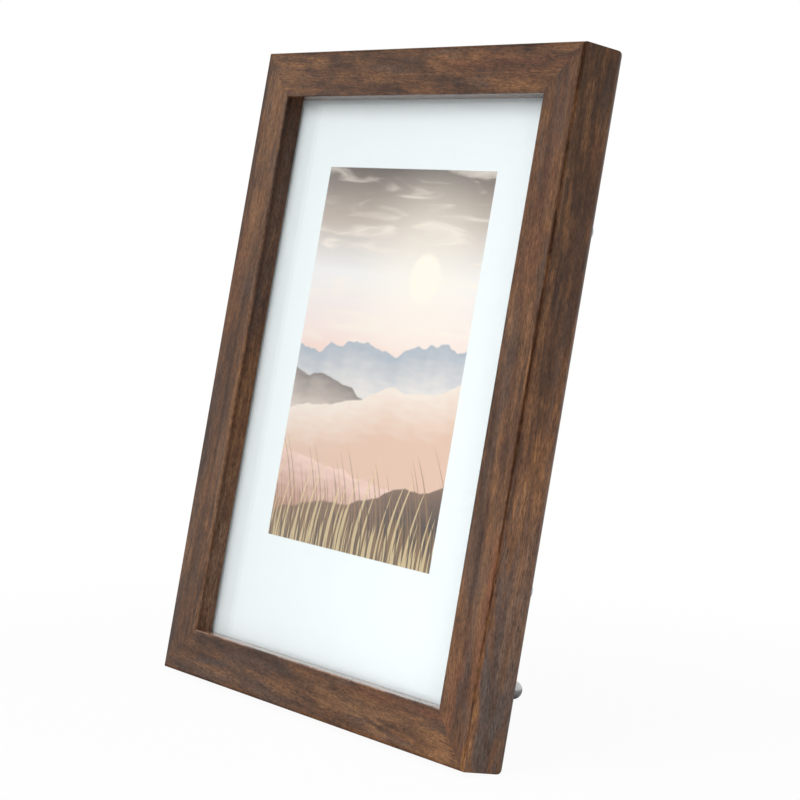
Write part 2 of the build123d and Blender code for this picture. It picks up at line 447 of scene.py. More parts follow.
    def shade(self, tree: Tree) -> Socket:
        """Add the figure, the stain's marks and the lacquer.

        Args:
            tree: Material tree.

        Returns:
            The shader socket.
        """
        upright = self.stance.upright(tree)
        place = self.rail_point(tree, upright)
        layers = [self.layer(tree, upright, figure) for figure in Figure]
        hue, mottle, fibres, pores, patches, bands, specks, waver, spots = layers
        tone = self.blend(tree, 0.5, (patches, 0.4), (bands, 0.3), (mottle, 0.3))
        stain = add(tree, "ValToRGB", {"Fac": tone}, stops=self.tones)
        stain = self.marked(tree, place, stain, (hue, pores, waver, spots))
        lively = fade(tree, (hue, (0.62, 0.6), (0.40, 1.5)))
        fine = self.blend(tree, self.brightness, (fibres, lively), (specks, 1.5))
        stain = add(tree, "HueSaturation", {"Value": fine, "Color": stain})

        relief = add(tree, "Math", (fibres, 0.8, pores), operation="MULTIPLY_ADD")
        strength = fade(tree, (place.to_sight, (0.0, 0.0), (0.4, 0.6)))
        rough = {"Strength": strength, "Distance": self.bump_height, "Height": relief}
        normal = add(tree, "Bump", rough, invert=True)
        wall = fade(tree, (place.to_sight, (0.0, 1.0), (0.4, 0.0)))
        satin = fade(tree, (mottle, (0.35, self.roughness[0]), (0.65, self.roughness[1])))
        roughness = add(tree, "Mix", {0: wall, 2: satin, 3: self.wall_roughness})
        off_arris = fade(tree, (place.front_arris, (0.7, self.gloss[0]), (1.3, self.gloss[1])))
        gloss = add(tree, "Mix", {0: wall, 2: off_arris, 3: self.sight_gloss})
        lacquer = {"Roughness": roughness, "Normal": normal, "IOR": 1.5, "Specular IOR Level": gloss}
        return add(tree, "BsdfPrincipled", {"Base Color": stain, **lacquer})

    def marked(self, tree: Tree, place: RailPoint, stain: Socket, layers: tuple[Socket, ...]) -> Socket:
        """Lay patches, streaks, pores, the marks of the edges and the painted arris shade over the plain
        stain.

        Args:
            tree: Material tree.
            place: Where the point lies on the rail.
            stain: Colour of the plain stain.
            layers: Figure of the hue, of the pores, of the wavering lines and of the spots.

        Returns:
            The colour socket.
        """
        hue, pores, waver, spots = layers
        rebate_line = (
            (place.to_sight, (0.0, self.rebate_dark), (0.5, 0.0)),
            (place.back, (0.5, 0.0), (1.2, 0.6)),
            (place.back, (1.4, 1.0), (3.0, 0.2)),
        )
        # Painted shade along the outer arris: uneven, and fading towards the foot.
        painted_arris_shade = (
            (place.front_arris, (0.44, self.arris_shade), (0.8, 0.0)),
            (place.height, (5.0, 0.4), (28.0, 1.0)),
            (waver, (0.40, 0.55), (0.56, 1.0)),
        )
        rubbed_spots = (
            (place.height, (15.0, 0.25), (70.0, 0.12)),
            (place.front_arris, (0.6, 1.0), (1.6, 0.0)),
            (spots, (0.48, 0.0), (0.66, 1.0)),
        )
        streaks = [(self.streak_share(tree, place, waver, mark), mark.stain.value) for mark in self.streaks]
        return lay_over(
            tree,
            stain,
            (fade(tree, (hue, (0.52, 0.0), (0.68, 0.45))), Stain.GREY.value),
            (fade(tree, (hue, (0.30, 0.35), (0.46, 0.0))), Stain.GOLD.value),
            *streaks,
            (fade(tree, (pores, (0.60, 0.0), (0.74, 0.3))), self.pore),
            (fade(tree, *rebate_line), self.rebate),
            # Painted shade along the outer arris.
            (fade(tree, *painted_arris_shade), self.arris),
            (fade(tree, (place.mitre, (0.03, 0.2), (0.2, 0.0))), self.mitre),
            (fade(tree, *rubbed_spots), self.rubbed),
        )


@dataclass(frozen=True)
class FloatGlass(Finish):
    """Clear float glass, coated against glare: a faint mirror of the room over what lies behind."""

    tint: str = "#FDFEFE"
    sheen: str = "#6C6C6C"

    def shade(self, tree: Tree) -> Socket:
        """Add clear glass that lets the lamps through.

        Args:
            tree: Material tree.

        Returns:
            The shader socket.
        """
        clear = {
            "Base Color": linear(self.tint),
            "Roughness": 0.0,
            "IOR": 1.5,
            "Specular Tint": linear(self.sheen),
            "Transmission Weight": 1.0,
        }
        glass = add(tree, "BsdfPrincipled", clear)
        open_pane = add(tree, "BsdfTransparent", {"Color": linear(self.tint)})
        lamp_path = add(tree, "LightPath", out="Is Shadow Ray")
        return add(tree, "MixShader", (lamp_path, glass, open_pane))


@dataclass(frozen=True)
class Hill:
    """One range in the printed landscape; sizes are millimetres on the print."""

    crest: float
    relief: float
    wave: float
    slope: float
    seed: float
    crest_colour: str
    foot_colour: str
    fade: float


@dataclass(frozen=True)
class Grass:
    """One stand of printed grass; sizes are millimetres on the print."""

    foot: float
    length: float
    blade: float
    bend: float
    seed: float
    colour: str
    share: float


@dataclass(frozen=True)
class PrintPoint:
    """Where a point lies on the print, in millimetres from its lower left corner, as sockets."""

    whole: Socket
    across: Socket
    up: Socket


@dataclass(frozen=True)
class PrintedInsert(Finish):
    """Coated paper, offset printed: cool white with a hazy landscape, and a low even sheen."""

    stance: Stance
    left: float = -46.7
    right: float = 44.0
    bottom: float = 53.6
    top: float = 181.3
    edge_blur: float = 0.1
    crest_blur: float = 0.3
    fibre_mm: float = 0.6
    fibre_height: float = 0.01 * MM
    paper: Stops = ((0.3, "#F0F6F8"), (0.7, "#F6FBFC"))
    dawn: Stops = (
        (0.45, "#F3C9B6"),
        (0.56, "#F6E3DC"),
        (0.72, "#F1EEED"),
        (0.86, "#BFB0A4"),
        (1.0, "#54473F"),
    )
    cloud: str = "#FBF0E3"
    cloud_mm: Triple = (30.0, 30.0, 5.0)
    sun: str = "#FFF6E8"
    sun_place: Triple = (63.0, 0.0, 92.0)
    ripple_mm: Triple = (9.0, 9.0, 2.2)
    hills: tuple[Hill, ...] = (
        Hill(66, 16, 21, 0.05, 3, "#A9B3BF", "#E6E0DC", 16),
        Hill(58, 12, 26, -0.12, 11, "#857B76", "#DCCCC1", 14),
        Hill(44, 11, 34, 0.16, 23, "#F3E6DA", "#E2BFAA", 16),
        Hill(31, 12, 40, -0.14, 31, "#F1D0C3", "#B58672", 20),
        Hill(9, 9, 30, 0.2, 47, "#7A5F4E", "#3A2C25", 12),
    )
    grasses: tuple[Grass, ...] = (
        Grass(10, 26, 1.3, 0.010, 5, "#94704A", 0.6),
        Grass(0, 36, 1.9, -0.008, 17, "#E2CC9C", 0.7),
        Grass(-6, 26, 1.3, 0.012, 29, "#4A382C", 0.85),
    )

    def shade(self, tree: Tree) -> Socket:
        """Add the paper and, printed on it from back to front, a hazy morning over dunes.

        Args:
            tree: Material tree.

        Returns:
            The shader socket.
        """
        upright = self.stance.upright(tree)
        whole = add(tree, "Mapping", {"Vector": upright, "Location": (-self.left, 0.0, -self.bottom)})
        across, _, up = add(tree, "SeparateXYZ", {"Vector": whole}).node.outputs
        edges = []
        for place, size in ((across, self.right - self.left), (up, self.top - self.bottom)):
            middle = add(tree, "Math", (place, size / 2), operation="SUBTRACT")
            reach = add(tree, "Math", (middle,), operation="ABSOLUTE")
            edges.append((reach, (size / 2 - self.edge_blur, 1.0), (size / 2 + self.edge_blur, 0.0)))
        inside = fade(tree, *edges, curve="LINEAR")
        fibre = add(tree, "TexNoise", {"Vector": upright, "Scale": 1 / self.fibre_mm, "Detail": 3.0})
        paper = add(tree, "ValToRGB", {"Fac": fibre}, stops=self.paper)
        point = PrintPoint(whole, across, up)
        picture = self.sky(tree, point)
        for hill in self.hills:
            picture = self.range_of_hills(tree, point, hill, picture)
        for grass in self.grasses:
            picture = self.stand_of_grass(tree, point, grass, picture)
        surface = lay_over(tree, paper, (inside, picture))
        normal = add(tree, "Bump", {"Strength": 0.2, "Distance": self.fibre_height, "Height": fibre})
        sheet = {"Base Color": surface, "Roughness": 0.45, "IOR": 1.5, "Normal": normal}
        return add(tree, "BsdfPrincipled", sheet)

    def sky(self, tree: Tree, point: PrintPoint) -> Socket:
        """Draw the sky with thin cloud and a pale sun in its haze.

        Args:
            tree: Material tree.
            point: Place on the print.

        Returns:
            The colour socket.
        """
        share = add(tree, "Math", (point.up, self.top - self.bottom), operation="DIVIDE")
        clear = add(tree, "ValToRGB", {"Fac": share}, stops=self.dawn)
        stretch = {"Vector": point.whole, "Scale": tuple(1 / size for size in self.cloud_mm)}
        drawn_out = add(tree, "Mapping", stretch)
        wisps = {"Vector": drawn_out, "Scale": 1.0, "Detail": 5.0, "Distortion": 0.6}
        cloud = add(tree, "TexNoise", wisps)
        apart = add(tree, "VectorMath", (point.whole, self.sun_place), operation="SUBTRACT")
        flat = add(tree, "VectorMath", (apart, (1.0, 0.0, 1.0)), operation="MULTIPLY")
        distance = add(tree, "VectorMath", (flat,), out="Value", operation="LENGTH")
        haze = fade(tree, (distance, (1.0, 0.55), (51.0, 0.0)), curve="SMOOTHERSTEP")
        disc = fade(tree, (distance, (6.8, 0.95), (9.2, 0.0)), curve="SMOOTHERSTEP")
        thin = fade(tree, (cloud, (0.48, 0.0), (0.72, 0.7)))
        return lay_over(tree, clear, (thin, self.cloud), (haze, self.sun), (disc, self.sun))

    def range_of_hills(self, tree: Tree, point: PrintPoint, hill: Hill, behind: Socket) -> Socket:
        """Draw one range in front of what is behind it.

        Args:
            tree: Material tree.
            point: Place on the print.
            hill: The range.
            behind: Colour behind it.

        Returns:
            The colour socket.
        """
        along = add(tree, "Math", (point.across, 1 / hill.wave, hill.seed), operation="MULTIPLY_ADD")
        rolling = {"W": along, "Scale": 1.0, "Detail": 3.0, "Roughness": 0.45}
        wave = add(tree, "TexNoise", rolling, noise_dimensions="1D")
        rise = (point.across, hill.slope, hill.crest - hill.relief / 2)
        tilt = add(tree, "Math", rise, operation="MULTIPLY_ADD")
        crest = add(tree, "Math", (wave, hill.relief, tilt), operation="MULTIPLY_ADD")
        below = add(tree, "Math", (crest, point.up), operation="SUBTRACT")
        stretch = {"Vector": point.whole, "Scale": tuple(1 / size for size in self.ripple_mm)}
        drawn_out = add(tree, "Mapping", stretch)
        ripple = add(tree, "TexNoise", {"Vector": drawn_out, "Scale": 1.0, "Detail": 5.0})
        depth = add(tree, "Math", (ripple, hill.fade * 0.7, below), operation="MULTIPLY_ADD")
        foot = fade(tree, (depth, (hill.fade * 0.3, 0.0), (hill.fade * 1.35, 1.0)), curve="LINEAR")
        land = lay_over(tree, linear(hill.crest_colour), (foot, hill.foot_colour))
        mask = fade(tree, (below, (-self.crest_blur, 0.0), (self.crest_blur, 1.0)), curve="LINEAR")
        return lay_over(tree, behind, (mask, land))

    def stand_of_grass(self, tree: Tree, point: PrintPoint, grass: Grass, behind: Socket) -> Socket:
        """Draw bent blades of uneven length.

        Args:
            tree: Material tree.
            point: Place on the print.
            grass: The stand.
            behind: Colour behind it.

        Returns:
            The colour socket.
        """
        bent = add(tree, "Math", (point.up, point.up), operation="MULTIPLY")
        root = add(tree, "Math", (bent, grass.bend, point.across), operation="MULTIPLY_ADD")
        blade = add(tree, "Math", (root, 1 / grass.blade, grass.seed), operation="MULTIPLY_ADD")
        height = add(tree, "TexNoise", {"W": blade, "Scale": 1.0, "Detail": 1.0}, noise_dimensions="1D")
        growth = {"Value": height, "From Min": 0.45, "From Max": 0.8}
        growth |= {"To Min": grass.foot, "To Max": grass.foot + grass.length}
        tip = add(tree, "MapRange", growth, clamp=False)
        below = add(tree, "Math", (tip, point.up), operation="SUBTRACT")
        mask = fade(tree, (below, (0.0, 0.0), (2.5, grass.share)), curve="LINEAR")
        return lay_over(tree, behind, (mask, grass.colour))


@dataclass(frozen=True)
class PressedBoard(Finish):
    """Pressed fibre or card, left raw: matt, with fine flecks of paler and darker fibre."""

    ground: str
    fleck: str
    fleck_mm: float
    cloud_flecks: float = 22.0
    roughness: float = 0.8
    bump_height: float = 0.02 * MM

    def shade(self, tree: Tree) -> Socket:
        """Add the flecked, matt surface.

        Args:
            tree: Material tree.

        Returns:
            The shader socket.
        """
        point = add(tree, "TexCoord", out="Object")
        fine = 1 / (self.fleck_mm * MM)
        flecks = add(tree, "TexNoise", {"Vector": point, "Scale": fine, "Detail": 4.0, "Roughness": 0.65})
        cloud = add(tree, "TexNoise", {"Vector": point, "Scale": fine / self.cloud_flecks, "Detail": 2.0})
        tone = add(tree, "Math", (cloud, 0.35, flecks), operation="MULTIPLY_ADD")
        colour = add(tree, "ValToRGB", {"Fac": tone}, stops=((0.52, self.ground), (0.88, self.fleck)))
        normal = add(tree, "Bump", {"Strength": 0.7, "Distance": self.bump_height, "Height": flecks})
        matt = {"Base Color": colour, "Roughness": self.roughness, "Normal": normal}
        return add(tree, "BsdfPrincipled", matt)


class Machining(Enum):
    """The lay of the fine lines that working leaves on a metal piece, as its stretch in mm."""

    TURNED = (6.0, 0.16, 6.0)
    TUMBLED = (0.7, 0.7, 0.7)


@dataclass(frozen=True)
class PlatedSteel(Finish):
    """Plated steel: a soft metal mirror, broken by fine tool lines and a little duller in patches."""

    stance: Stance
    bright: str
    dull: str
    machining: Machining
    patch_mm: float = 3.5
    roughness: Pair = (0.25, 0.36)
    bump_height: float = 0.0012 * MM

    def shade(self, tree: Tree) -> Socket:
        """Add the plated metal.

        Args:
            tree: Material tree.

        Returns:
            The shader socket.
        """
        upright = self.stance.upright(tree)
        scale = tuple(1 / size for size in self.machining.value)
        point = add(tree, "Mapping", {"Vector": upright, "Scale": scale})
        lines = add(tree, "TexNoise", {"Vector": point, "Scale": 1.0, "Detail": 3.0})
        patches = add(tree, "TexNoise", {"Vector": upright, "Scale": 1 / self.patch_mm, "Detail": 3.0})
        colour = add(tree, "ValToRGB", {"Fac": patches}, stops=((0.35, self.dull), (0.65, self.bright)))
        low, high = self.roughness
        roughness = fade(tree, (lines, (0.3, low), (0.7, high)), curve="LINEAR")
        normal = add(tree, "Bump", {"Strength": 0.5, "Distance": self.bump_height, "Height": lines})
        metal = {"Base Color": colour, "Metallic": 1.0, "Roughness": roughness, "Normal": normal}
        return add(tree, "BsdfPrincipled", metal)


@dataclass
class Moulding:
    """The four mitred rails, each cut from its own stretch of wood."""

    stance: Stance

    def finishes(self) -> dict[str, StainedAlder]:
        """The wood of each rail: its cut from the plank, the tilt of its grain and its streaks."""
        front, side, sight = RailFace
        gold, tan, red, grey, dark, thin = Stain
        left_streaks = (
            (front, (-20, 3), (120, 3), 4, grey, 0.45, 30),
            (front, (28, 10), (66, 8), 4.5, dark, 0.3),
            (front, (62, 12.5), (94, 12), 4, gold, 0.5),
            (front, (88, 12), (130, 8.5), 3.2, dark, 0.35),
            (front, (110, 5), (175, 5), 3, red, 0.4),
            (front, (135, 10.5), (240, 9), 7, gold, 0.65, 30),
            # Gold and tan lines along the eased sight arris: painted highlight where it catches the light.
            (front, (20, 15.2), (150, 15.2), 0.7, gold, 0.75, 30),
            (front, (-10, 15), (220, 15), 0.9, tan, 0.5),
            # The sight wall runs from tan at the foot through grey to near black at the top: painted shade,
            # deepest under the top rail.
            (sight, (-10, 4), (90, 4), 9, tan, 0.75, 40),
            (sight, (100, 4), (230, 4), 6, grey, 0.6, 50),
            (sight, (180, 4), (260, 4), 9, dark, 0.9, 40),
            (sight, (150, 1.6), (270, 1.6), 2.6, dark, 0.8, 40),
        )
        right_streaks = (
            (side, (-20, 9), (100, 9), 13, grey, 0.6, 40),
            (side, (-20, 16), (40, 15), 7, grey, 0.9, 30),
            (side, (-20, 2.4), (70, 4.4), 4.5, grey, 0.8, 30),
            (side, (-30, 15), (64, 14), 9, grey, 0.5, 30),
            (side, (22, 9.5), (84, 10.5), 4.5, tan, 0.3, 20),
            # The broad dark streaks darken the side towards the top: painted shade.
            (side, (95, 7.5), (180, 6), 2.4, dark, 0.6),
            (side, (100, 10), (280, 8), 12, dark, 0.6, 60),
            (front, (28, 4), (92, 4), 4, gold, 0.5, 20),
            (front, (52, 10), (96, 13), 2.4, dark, 0.5),
            (front, (78, 8.5), (112, 8.5), 3, gold, 0.4),
            (front, (106, 2.5), (160, 13), 3.6, dark, 0.35),
            (front, (130, 9), (215, 7), 4, red, 0.4, 25),
            (front, (-10, 12), (40, 9), 4, red, 0.4),
            (front, (14, 1.6), (76, 1.6), 2.4, red, 0.7),
            # Darker along the outer arris towards the top: painted shade.
            (front, (90, 0.6), (230, 0.6), 1.9, dark, 0.4),
            # Short gold glint on the outer arris: painted highlight.
            (front, (108, 1.3), (136, 1.2), 0.7, gold, 0.8, 8),
        )
        bottom_streaks = (
            (front, (-120, 3), (10, 3), 4.5, grey, 0.5, 30),
            (front, (-75, 14), (-6, 13.5), 1.8, dark, 0.55),
            (front, (-58, 9), (-12, 9), 5, grey, 0.4),
            (front, (-28, 12.5), (26, 7.5), 2.2, dark, 0.45),
            (front, (-12, 8.5), (82, 7.5), 5.5, gold, 0.6, 30),
            (front, (20, 14), (80, 13), 1.8, red, 0.5),
            # Pale tone on the bottom ledge: painted sheen, a reflection of the insert, over the lacquer's
            # real gloss.
            (sight, (-120, 4), (120, 4), 16, thin, 1.0),
        )
        top_streaks = (
            (front, (-110, 9), (-38, 8), 7, gold, 0.4, 25),
            (front, (-48, -2), (44, 15.5), 2.6, dark, 0.5),
            (front, (8, 6), (90, 8), 5, red, 0.35, 20),
            (front, (-85, 9.2), (85, 9), 0.35, gold, 0.35),
        )
        up, across = Grain.UP_FRAME, Grain.ACROSS_FRAME
        # Grain, cut, tilt, gloss of the sight wall, how dark its line is, the strength of the painted shade
        # on the outer arris, streaks.
        cuts = {
            "left_stile": (up, (31, 77, 19), 2.0, 0.16, 1.0, 0.1, left_streaks),
            "right_stile": (up, (154, 26, 83), -1.5, 0.1, 1.0, 0.85, right_streaks),
            "bottom_rail": (across, (62, 118, 275), 3.5, 1.0, 0.0, 0.1, bottom_streaks),
            "top_rail": (across, (219, 44, 137), 3.5, 0.25, 0.0, 0.1, top_streaks),
        }
        wood = "stained alder, lacquered"
        return {
            name: StainedAlder(f"{wood}, {name}", self.stance, *cut, tuple(Streak(*row) for row in rows))
            for name, (*cut, rows) in cuts.items()
        }

    def dress(self, nodes: Nodes) -> None:
        """Give each rail its own cut of stained wood."""
        for name, finish in self.finishes().items():
            dress(nodes[name], finish.material())


@dataclass
class Glazing:
    """The pane, the insert behind it and the boards that press them into the rebate."""

    stance: Stance

    def dress(self, nodes: Nodes) -> None:
        """Give the pane, the insert and the two boards their finishes.

        Args:
            nodes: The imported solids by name.
        """
        finishes = {
            "glass_pane": FloatGlass("float glass, clear"),
            "picture_insert": PrintedInsert("coated paper, offset printed", self.stance),
            "filler_board": PressedBoard("grey card, raw", "#8B8478", "#A69E90", 0.5),
            "back_board": PressedBoard("fibre board, dyed dark", "#2A2624", "#4A423C", 0.45),
        }
        for name, finish in finishes.items():
            dress(nodes[name], finish.material())


@dataclass(frozen=True)
class FastenerSizes:
    """Sizes of a domed fastener in millimetres; a recess length of 0 leaves the head plain."""

    head_radius: float
    head_edge: float
    head_dome: float
    shank_radius: float
    shank_length: float
    recess_length: float = 0.0
    recess_width: float = 0.0
    recess_depth: float = 0.0


@dataclass
class DomedFasteners:
    """Screws or rivets that stand on points of the frame's back, made by one node tree."""

    name: str
    sizes: FastenerSizes
    feet: list[Vector]
    axis: Vector
    seed: int
    segments: int = 40
    rings: int = 8
    sharp_deg: float = 32.0

    def inputs(self) -> dict[str, tuple[str, object]]:
        """The tree's named inputs, each with its socket type and value."""
        made: dict[str, tuple[str, object]] = {}
        for name, length in asdict(self.sizes).items():
            made[name.replace("_", " ").title()] = ("NodeSocketFloat", length * MM)
        made["Recessed"] = ("NodeSocketBool", self.sizes.recess_length > 0)
        made["Axis"] = ("NodeSocketVector", tuple(self.axis))
        made["Seed"] = ("NodeSocketInt", self.seed)
        return made

    def head(self, tree: Tree, given: bpy.types.NodeOutputs) -> Socket:
        """Add the domed head, which stands on the tree's origin.

        Args:
            tree: Geometry tree.
            given: The tree's inputs.

        Returns:
            The mesh socket.
        """
        blank = {"Vertices": self.segments, "Fill Segments": self.rings}
        blank |= {"Radius": given["Head Radius"], "Depth": given["Head Edge"]}
        disc = add(tree, "GeometryNodeMeshCylinder", blank, fill_type="TRIANGLE_FAN").node.outputs
        place = add(tree, "GeometryNodeInputPosition")
        x, y, _ = add(tree, "SeparateXYZ", {"Vector": place}).node.outputs
        flat = add(tree, "CombineXYZ", {"X": x, "Y": y})
        reach = add(tree, "VectorMath", (flat,), out="Value", operation="LENGTH")
        share = add(tree, "Math", (reach, given["Head Radius"]), operation="DIVIDE")
        square = add(tree, "Math", (share, share), operation="MULTIPLY")
        rise_share = add(tree, "Math", (1.0, square), operation="SUBTRACT")
        rise = add(tree, "Math", (rise_share, given["Head Dome"]), operation="MULTIPLY")
        lift = add(tree, "CombineXYZ", {"Z": rise})
        raised = {"Geometry": disc["Mesh"], "Selection": disc["Top"], "Offset": lift}
        domed = add(tree, "GeometryNodeSetPosition", raised)
        half_edge = add(tree, "Math", (given["Head Edge"], 0.5), operation="MULTIPLY")
        seat_place = add(tree, "CombineXYZ", {"Z": half_edge})
        return add(tree, "GeometryNodeTransform", {"Geometry": domed, "Translation": seat_place})

    def recessed(self, tree: Tree, given: bpy.types.NodeOutputs, head: Socket) -> Socket:
        """Cut a cross into the head where the fastener has one.

        Args:
            tree: Geometry tree.
            given: The tree's inputs.
            head: The plain head.

        Returns:
            The mesh socket.
        """
        crown = add(tree, "Math", (given["Head Edge"], given["Head Dome"]), operation="ADD")
        top = add(tree, "CombineXYZ", {"Z": crown})
        height = add(tree, "Math", (given["Recess Depth"], 2.0), operation="MULTIPLY")
        slots = []
        for length, width in (("Recess Length", "Recess Width"), ("Recess Width", "Recess Length")):
            size = add(tree, "CombineXYZ", {"X": given[length], "Y": given[width], "Z": height})
            slot = add(tree, "GeometryNodeMeshCube", {"Size": size})
            slots.append(add(tree, "GeometryNodeTransform", {"Geometry": slot, "Translation": top}))
        parts = {"Mesh 1": head, "Mesh 2": slots}
        cut = add(tree, "GeometryNodeMeshBoolean", parts, operation="DIFFERENCE")
        choice = {"Switch": given["Recessed"], "False": head, "True": cut}
        return add(tree, "GeometryNodeSwitch", choice, input_type="GEOMETRY")

    def tree(self, material: bpy.types.Material) -> Tree:
        """Build the node tree that makes one fastener and stands it on each point.

        Args:
            material: Finish of the fasteners.

        Returns:
            The geometry node tree.
        """
        tree = bpy.data.node_groups.new(self.name, "GeometryNodeTree")
        face = tree.interface
        face.new_socket("Geometry", in_out="OUTPUT", socket_type="NodeSocketGeometry")
        face.new_socket("Geometry", in_out="INPUT", socket_type="NodeSocketGeometry")
        for name, (kind, _) in self.inputs().items():
            face.new_socket(name, in_out="INPUT", socket_type=kind)
        given = add(tree, "NodeGroupInput").node.outputs
        head = self.recessed(tree, given, self.head(tree, given))
        rod = {"Vertices": self.segments, "Radius": given["Shank Radius"], "Depth": given["Shank Length"]}
        shank = add(tree, "GeometryNodeMeshCylinder", rod)
        half_down = add(tree, "Math", (given["Shank Length"], -0.5), operation="MULTIPLY")
        sunk = add(tree, "CombineXYZ", {"Z": half_down})
        shank = add(tree, "GeometryNodeTransform", {"Geometry": shank, "Translation": sunk})
        fastener = add(tree, "GeometryNodeJoinGeometry", {"Geometry": [head, shank]})

        any_way = {2: 0.0, 3: math.tau, "Seed": given["Seed"]}
        turn = add(tree, "FunctionNodeRandomValue", any_way, out=1, data_type="FLOAT")
        spin = add(tree, "FunctionNodeAxisAngleToRotation", {"Axis": (0.0, 0.0, 1.0), "Angle": turn})
        facing = add(tree, "FunctionNodeAlignRotationToVector", {"Vector": given["Axis"]}, axis="Z")
        turned = {"Rotation": facing, "Rotate By": spin}
        rotation = add(tree, "FunctionNodeRotateRotation", turned, rotation_space="LOCAL")
        placed = {"Points": given["Geometry"], "Instance": fastener, "Rotation": rotation}
        stood = add(tree, "GeometryNodeInstanceOnPoints", placed)
        real = add(tree, "GeometryNodeRealizeInstances", {"Geometry": stood})
        dressed = add(tree, "GeometryNodeSetMaterial", {"Geometry": real, "Material": material})
        add(tree, "NodeGroupOutput", {"Geometry": dressed})
        return tree

    def build(self, material: bpy.types.Material) -> bpy.types.Object:
        """Make the fasteners as one plain mesh.

        Args:
            material: Finish of the fasteners.

        Returns:
            The new object.
        """
        points = bpy.data.meshes.new(f"{self.name}_feet")
        points.from_pydata([tuple(foot) for foot in self.feet], [], [])
        piece = bpy.data.objects.new(self.name, points)
        bpy.context.scene.collection.objects.link(piece)
        modifier = piece.modifiers.new(self.name, "NODES")
        modifier.node_group = self.tree(material)
        values = self.inputs()
        for item in modifier.node_group.interface.items_tree:
            if item.in_out == "INPUT" and item.name in values:
                modifier[item.identifier] = values[item.name][1]
        evaluated = piece.evaluated_get(bpy.context.evaluated_depsgraph_get())
        mesh = bpy.data.meshes.new_from_object(evaluated)
        piece.modifiers.clear()
        piece.data = mesh
        mesh.name = self.name
        mesh.shade_smooth()
        mesh.set_sharp_from_angle(angle=math.radians(self.sharp_deg))
        return piece


@dataclass
class PinStand:
    """The support pin and the two sockets that it can stand in."""

    stance: Stance

    def dress(self, nodes: Nodes) -> None:
        """Give the pin and the sockets their plating.

        Args:
            nodes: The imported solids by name.
        """
        plating = ("steel, turned, nickel plated", self.stance, "#C2C2C1", "#B4B4B4")
        material = PlatedSteel(*plating, Machining.TURNED).material()
        for name in ("support_pin", "portrait_pin_socket", "landscape_pin_socket"):
            dress(nodes[name], material)


@dataclass
class TurnButtons:
    """The turn buttons that hold the back in, their screws, and the nails in the mitres."""

    stance: Stance
    joints: list[dict]
    button_thickness: float = 0.8
    lift: float = 0.05
    screw: FastenerSizes = FastenerSizes(2.5, 0.4, 0.9, 1.4, 9.9, 2.8, 0.7, 0.75)

    def dress(self, nodes: Nodes) -> None:
        """Give the buttons and nails their plating and put detailed screws in.

        Args:
            nodes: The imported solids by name.
        """
        plating = ("steel, stamped, zinc plated", self.stance, "#C4C8CA", "#A7ABAF")
        material = PlatedSteel(*plating, Machining.TUMBLED).material()
        swivels = [joint for joint in self.joints if joint["name"].endswith("_swivel")]
        for joint in swivels:
            dress(nodes[joint["child"]], material)
        dress(nodes["corner_v_nails"], material)
        back = self.stance.direction(0, 1, 0)
        to_head = back * (self.button_thickness / 2 + self.lift) * MM
        feet = [Vector(joint["pos_m"]) + to_head for joint in swivels]
        screws = DomedFasteners("pan_head_screws", self.screw, feet, back, seed=4).build(material)
        seat(screws, "turn_button_screws")


@dataclass
class Hangers:
    """The strap hangers with their rings and rivets."""

    stance: Stance
    joints: list[dict]
    eye_outer: float = 1.92
    strap_thickness: float = 0.7
    rivet_distance: float = 6.0
    rivet: FastenerSizes = FastenerSizes(2.5, 0.12, 0.88, 1.5, 4.4)

    def dress(self, nodes: Nodes) -> None:
        """Give the straps and rings their plating and put domed rivets in.

        Args:
            nodes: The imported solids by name.
        """
        plating = ("steel, stamped, brass plated", self.stance, "#D2AE66", "#B38E4B")
        material = PlatedSteel(*plating, Machining.TUMBLED).material()
        back = self.stance.direction(0, 1, 0)
        rise = back * (2 * self.strap_thickness - self.eye_outer) * MM
        tongues = {"portrait": self.stance.direction(0, 0, -1), "landscape": Vector((1, 0, 0))}
        eyes = {joint["child"]: Vector(joint["pos_m"]) for joint in self.joints if "pos_m" in joint}
        feet = []
        for way, tongue in tongues.items():
            dress(nodes[f"{way}_hanger_strap"], material)
            dress(nodes[f"{way}_hanger_ring"], material)
            feet.append(eyes[f"{way}_hanger_ring"] + rise + tongue * self.rivet_distance * MM)
        rivets = DomedFasteners("domed_rivets", self.rivet, feet, back, seed=9).build(material)
        seat(rivets, "hanger_rivets")


@dataclass(frozen=True)
class Lamp:
    """A softbox: its place, what it faces, its size, its power and whether polished faces show it."""

    name: str
    place: Triple
    aim: Triple
    size: Pair
    watts: float
    mirrored: bool = True


